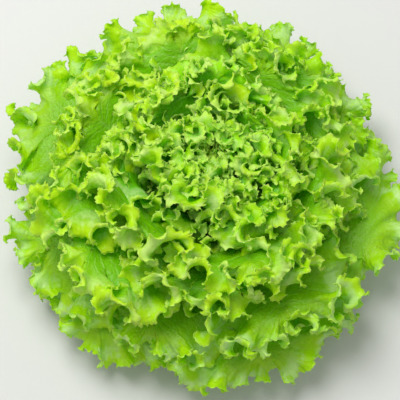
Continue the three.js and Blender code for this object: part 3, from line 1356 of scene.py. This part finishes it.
@dataclass(frozen=True)
class StemFinish:
    """Pale, fibrous flesh with a browned skin, and rings on the cut face."""

    name: str = "stem_flesh"
    flesh: tuple[float, float, float] = (0.80, 0.86, 0.58)
    skin: tuple[float, float, float] = (0.62, 0.74, 0.30)
    sap: tuple[float, float, float] = (0.55, 0.36, 0.14)
    pith: tuple[float, float, float] = (0.86, 0.88, 0.70)
    pith_radius: float = 0.0075
    ring_radius: float = 0.0115

    def build(self) -> bpy.types.Material:
        """Makes the material.

        Returns:
            The material.
        """
        material, graph, shader = new_material(self.name)
        place = graph.add("TexCoord").outputs["Object"]
        apart = graph.add("SeparateXYZ", {"Vector": place}).outputs
        flat = graph.add("CombineXYZ", {0: apart[0], 1: apart[1]}).outputs[0]
        radius = graph.add("VectorMath", {0: flat}, operation="LENGTH").outputs["Value"]
        grain = graph.add("Mapping", {"Vector": place, "Scale": (900.0, 900.0, 90.0)}).outputs[0]
        fibre = graph.noise(grain, 1.0, 4.0, 0.6)
        mottle = graph.noise(place, 260.0, 4.0)
        side = graph.blend(fibre, (*self.skin, 1.0), (*self.flesh, 1.0))
        stain = graph.math("MULTIPLY", graph.ramp(apart[2], 0.001, 0.006, (0.7, 0.0)), mottle)
        side = graph.blend(stain, side, (*self.sap, 1.0))
        # the cut face: a soft pith, a ring of fine vessels and a darker rim
        cut = graph.blend(graph.ramp(radius, self.pith_radius, self.pith_radius + 0.002),
                          (*self.pith, 1.0), (*self.flesh, 1.0))
        off_ring = graph.math("ABSOLUTE", graph.math("SUBTRACT", radius, self.ring_radius))
        dots = graph.add("TexVoronoi", {"Vector": flat, "Scale": 620.0}).outputs["Distance"]
        vessels = graph.math("MULTIPLY", graph.ramp(off_ring, 0.0003, 0.0012, (0.8, 0.0)),
                             graph.ramp(dots, 0.15, 0.45, (1.0, 0.0)))
        cut = graph.blend(vessels, cut, (*self.sap, 1.0))
        rim = graph.ramp(radius, 0.0128, 0.0145, (0.0, 0.7))
        cut = graph.blend(graph.math("MULTIPLY", rim, mottle), cut, (*self.sap, 1.0))
        face = graph.ramp(apart[2], 0.0004, 0.0009, (1.0, 0.0))
        links = graph.tree.links
        links.new(graph.blend(face, side, cut), shader.inputs["Base Color"])
        rough = graph.math("ADD", 0.4, graph.math("MULTIPLY", mottle, 0.3))
        links.new(rough, shader.inputs["Roughness"])
        bump = graph.add("Bump", {"Height": fibre, "Strength": 0.35, "Distance": 0.0005})
        links.new(bump.outputs[0], shader.inputs["Normal"])
        return material


@dataclass
class Stem:
    """The short stem that the leaves grow from, with the scars of the leaves that were taken off."""

    shape: StemShape = field(default_factory=StemShape)
    finish: StemFinish = field(default_factory=StemFinish)
    sides: int = 120
    levels: int = 48
    scars: int = 7
    scar_spacing: float = 0.9
    scar_depth: float = 0.7
    scar_width: float = 0.42
    face_hollow: float = 0.3
    # widths of the insets of the cut face, and how far each one sinks as a share of the hollow
    insets: tuple[tuple[float, float], ...] = ((2.2, 0.0), (1.6, 0.4), (3.0, 1.0), (3.5, 0.6))

    def build(self) -> bpy.types.Object:
        """Makes and dresses the stem.

        Returns:
            The finished piece.
        """
        foot = float(self.shape.radius(0.0)) - self.shape.chamfer
        bpy.ops.object.select_all(action="DESELECT")
        bpy.ops.mesh.primitive_circle_add(vertices=self.sides, radius=foot * MM, fill_type="NGON",
                                          location=(0.0, 0.0, 0.0))
        piece = bpy.context.object
        piece.name = piece.data.name = "stem_core"
        bpy.ops.object.mode_set(mode="EDIT")
        bpy.ops.mesh.select_all(action="SELECT")
        height, radius = 0.0, foot
        for next_height, next_radius in self._profile():
            bpy.ops.mesh.extrude_region_move(
                TRANSFORM_OT_translate={"value": (0.0, 0.0, (next_height - height) * MM)})
            share = next_radius / radius
            bpy.ops.transform.resize(value=(share, share, 1.0))
            height, radius = next_height, next_radius
        bpy.ops.mesh.select_all(action="SELECT")
        bpy.ops.mesh.normals_make_consistent(inside=False)
        bpy.ops.mesh.select_all(action="DESELECT")
        bpy.ops.object.mode_set(mode="OBJECT")
        self._hollow_cut_face(piece)
        self._put_in_order(piece)
        self._scar(piece)
        select_only(piece)
        bpy.ops.object.shade_smooth_by_angle(angle=math.radians(50.0))
        piece.data.materials.append(self.finish.build())
        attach(piece, "root")
        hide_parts("stem")
        return piece

    def _profile(self) -> list[tuple[float, float]]:
        """Rings above the cut face, up over the growing tip.

        Returns:
            Height and radius of each ring.
        """
        shape = self.shape
        heights = np.linspace(shape.chamfer, shape.height, self.levels)
        rings = list(zip(heights.tolist(), shape.radius(heights).tolist()))
        for turn in np.linspace(0.0, 0.5 * np.pi, 6)[1:]:
            tip = max(0.1, math.cos(turn))
            rings.append((shape.height + shape.dome * math.sin(turn), shape.tip_radius * tip))
        return rings

    def _hollow_cut_face(self, piece: bpy.types.Object) -> None:
        """Insets the cut face and sinks its pith a little, as it dries.

        Args:
            piece: the stem, changed in place.
        """
        select_only(piece)
        for face in piece.data.polygons:
            face.select = face.normal.z < -0.9 and face.center.z < 0.5 * MM
        bpy.ops.object.mode_set(mode="EDIT")
        bpy.ops.mesh.select_mode(type="FACE")
        for inset, rise in self.insets:
            bpy.ops.mesh.inset(thickness=inset * MM)
            bpy.ops.transform.translate(value=(0.0, 0.0, rise * self.face_hollow * MM))
        bpy.ops.object.mode_set(mode="OBJECT")

    @staticmethod
    def _put_in_order(piece: bpy.types.Object) -> None:
        """Sorts the faces by their vertices, since extrusion orders them otherwise in each run.

        Args:
            piece: the stem, changed in place.
        """
        mesh = bmesh.new()
        mesh.from_mesh(piece.data)
        faces = sorted(mesh.faces, key=lambda face: sorted(vertex.index for vertex in face.verts))
        places = {face: place for place, face in enumerate(faces)}
        mesh.faces.sort(key=places.get)
        mesh.to_mesh(piece.data)
        mesh.free()

    def _scar(self, piece: bpy.types.Object) -> None:
        """Presses the crescents of lost leaves into the stem's foot, on the leaves' own spiral.

        Args:
            piece: the stem, changed in place.
        """
        count = len(piece.data.vertices)
        place = np.empty(3 * count)
        piece.data.vertices.foreach_get("co", place)
        place = place.reshape(-1, 3)
        x, y, z = (place / MM).T
        angle, radius = np.arctan2(y, x), np.hypot(x, y)
        rosette = Rosette()
        move = 0.12 * np.sin(5.0 * angle + 0.1 * z) + 0.08 * np.sin(13.0 * angle - 0.3 * z)
        for number in range(1, self.scars + 1):
            turn = math.radians(rosette.first_azimuth - number * rosette.divergence)
            height = rosette.heights[0] - self.scar_spacing * number
            aside = (angle - turn + np.pi) % (2.0 * np.pi) - np.pi
            crescent = z - height + 1.2 * (aside / self.scar_width) ** 2
            fade = np.exp(-((aside / self.scar_width) ** 2))
            move -= self.scar_depth * fade * np.exp(-((crescent / 0.9) ** 2))
            move += 0.5 * self.scar_depth * fade * np.exp(-(((crescent + 1.5) / 0.7) ** 2))
        side = smooth_step(z, 1.0, 2.5) * (1.0 - smooth_step(z, 50.0, 58.0))
        grown = 1.0 + np.where(radius > 1.0, move * side / np.maximum(radius, 1.0), 0.0)
        place[:, :2] *= grown[:, None]
        piece.data.vertices.foreach_set("co", place.reshape(-1))
        piece.data.update()


# ---------------------------------------------------------------- the head


@dataclass
class Head:
    """The whole lettuce: stem and leaves."""

    rosette: Rosette = field(default_factory=Rosette)
    tissue: Tissue = field(default_factory=Tissue)

    def layers(self) -> list[LeafLayer]:
        """Sets the groups of leaves.

        Returns:
            The groups, oldest first.
        """
        # deep: painted shade in hollows; pale: margin tissue with painted highlight; sheen colour:
        # painted sheen, also veins
        outer = LeafFinish(
            "outer_leaf_tissue", deep=(0.38, 0.76, 0.001), blade=(0.57, 0.90, 0.003),
            yellow_blade=(0.70, 0.95, 0.001), frill=(0.72, 0.97, 0.05), pale=(0.77, 0.99, 0.20),
            painted_sheen_and_vein_tint=(0.78, 0.97, 0.44), painted_sheen_share=0.92, band=3.5, fade=1.0)
        middle = LeafFinish(
            "middle_leaf_tissue", deep=(0.30, 0.72, 0.0004), blade=(0.60, 0.94, 0.001),
            yellow_blade=(0.76, 0.97, 0.0005), frill=(0.80, 0.98, 0.06), pale=(0.79, 0.99, 0.20),
            painted_sheen_and_vein_tint=(0.84, 0.98, 0.40), painted_sheen_share=0.72, band=5.5, fade=1.3)
        inner = LeafFinish(
            "inner_leaf_tissue", deep=(0.20, 0.68, 0.0003), blade=(0.55, 0.94, 0.001),
            yellow_blade=(0.73, 0.97, 0.0005), frill=(0.81, 0.99, 0.14), pale=(0.81, 0.99, 0.24),
            painted_sheen_and_vein_tint=(0.88, 0.99, 0.50), painted_sheen_share=0.72, band=8.0, fade=1.9)
        heart = LeafFinish(
            "heart_leaf_tissue", deep=(0.18, 0.68, 0.0003), blade=(0.53, 0.93, 0.001),
            yellow_blade=(0.66, 0.96, 0.0005), frill=(0.80, 0.99, 0.14), pale=(0.81, 0.99, 0.22),
            painted_sheen_and_vein_tint=(0.88, 0.99, 0.48), painted_sheen_share=0.6, band=6.0, fade=2.4)
        outer_frill = Frill(
            wave_length=7.0, wave_height=1.0, wave_depth=4.0, tooth_width=3.6, tooth_height=1.4,
            tooth_depth=1.8, lobe_width=14.0, lobe_height=2.0, lobe_depth=7.0)
        inner_frill = Frill(
            wave_length=5.5, wave_depth=3.0, tooth_width=3.0, tooth_height=2.1, lobe_width=9.0,
            lobe_height=2.8, lobe_depth=5.0, blister_size=10.0, blister_height=0.5)
        heart_frill = Frill(
            wave_length=4.5, wave_height=0.9, wave_depth=2.4, tooth_width=2.5, tooth_height=1.6,
            tooth_depth=1.6, lobe_width=6.5, lobe_height=2.0, lobe_depth=4.0, blister_size=8.0,
            blister_height=0.4)
        return [
            LeafLayer(LeafGroup.OUTER, 1024, outer, outer_frill),
            LeafLayer(LeafGroup.MIDDLE, 1024, middle, Frill(), rib=2.6),
            LeafLayer(LeafGroup.INNER, 832, inner, inner_frill, rib=2.0),
            LeafLayer(LeafGroup.HEART, 640, heart, heart_frill, rib=1.2),
        ]

    def build(self) -> list:
        """Makes the stem, then grows and dresses the leaves.

        Returns:
            The finished pieces.
        """
        stem = Stem().build()
        LOG.info("%s: %d faces", stem.name, len(stem.data.polygons))
        layers = self.layers()
        count = sum(len(layer.group.nodes()) for layer in layers)
        leaves = self.rosette.leaves(count)
        points, blades = grow_blades(leaves, self.tissue)
        pieces, rank = [stem], 0
        for layer in layers:
            made = layer.build(points, blades, rank)
            rank += len(made)
            faces = sum(len(piece.data.polygons) for piece in made)
            LOG.info("%s: %d leaves, %d faces", layer.group.value, len(made), faces)
            pieces += made
        return pieces


# ---------------------------------------------------------------- studio


@dataclass(frozen=True)
class Studio:
    """Pale floor, soft light, and a camera that looks down on the head."""

    elevation: float = 70.0
    distance: float = 1.275
    lens: float = 140.0
    aim: tuple[float, float, float] = (-0.0095, -0.0095, 0.05)
    floor_size: float = 8.0
    floor_colour: tuple[float, float, float] = (0.80, 0.80, 0.78)
    floor_roughness: float = 0.9
    sky: float = 0.42
    lamp: float = 14.0
    lamp_size: float = 0.7
    lamp_place: tuple[float, float, float] = (-0.3, 0.3, 1.35)

    def build(self) -> None:
        """Makes the floor, the light and the camera."""
        self._floor()
        self._light()
        self._camera()

    def _floor(self) -> None:
        """Lays the floor at the height that the head rests on."""
        bpy.ops.object.select_all(action="DESELECT")
        bpy.ops.mesh.primitive_plane_add(size=self.floor_size, location=(0.0, 0.0, CAD_BOUNDS[0].z))
        floor = bpy.context.object
        floor.name = "floor"
        material, _, shader = new_material("pale_floor")
        shader.inputs["Base Color"].default_value = (*self.floor_colour, 1.0)
        shader.inputs["Roughness"].default_value = self.floor_roughness
        floor.data.materials.append(material)

    def _light(self) -> None:
        """Lights the head with an even sky and one broad lamp."""
        world = bpy.data.worlds.new("studio_sky")
        world.use_nodes = True
        background = world.node_tree.nodes["Background"]
        background.inputs["Color"].default_value = WHITE
        background.inputs["Strength"].default_value = self.sky
        bpy.context.scene.world = world
        lamp = bpy.data.lights.new("soft_lamp", "AREA")
        lamp.energy = self.lamp
        lamp.size = self.lamp_size
        holder = bpy.data.objects.new("soft_lamp", lamp)
        holder.location = self.lamp_place
        holder.rotation_euler = Vector(holder.location).to_track_quat("Z", "Y").to_euler()
        bpy.context.scene.collection.objects.link(holder)

    def _camera(self) -> None:
        """Places the camera at the front, looking steeply down."""
        tilt = math.radians(self.elevation)
        back = Vector((0.0, -math.cos(tilt), math.sin(tilt)))
        camera = bpy.data.cameras.new("camera")
        camera.lens = self.lens
        holder = bpy.data.objects.new("camera", camera)
        holder.location = Vector(self.aim) + back * self.distance
        holder.rotation_euler = back.to_track_quat("Z", "Y").to_euler()
        bpy.context.scene.collection.objects.link(holder)
        bpy.context.scene.camera = holder
        bpy.context.scene.view_settings.view_transform = "Standard"


def main() -> None:
    """Builds the head and the studio."""
    logging.basicConfig(level=logging.INFO, format="%(name)s: %(message)s")
    pieces = Head().build()
    LOG.info("%d pieces", len(pieces))
    Studio().build()


if __name__ == "__main__":
    main()
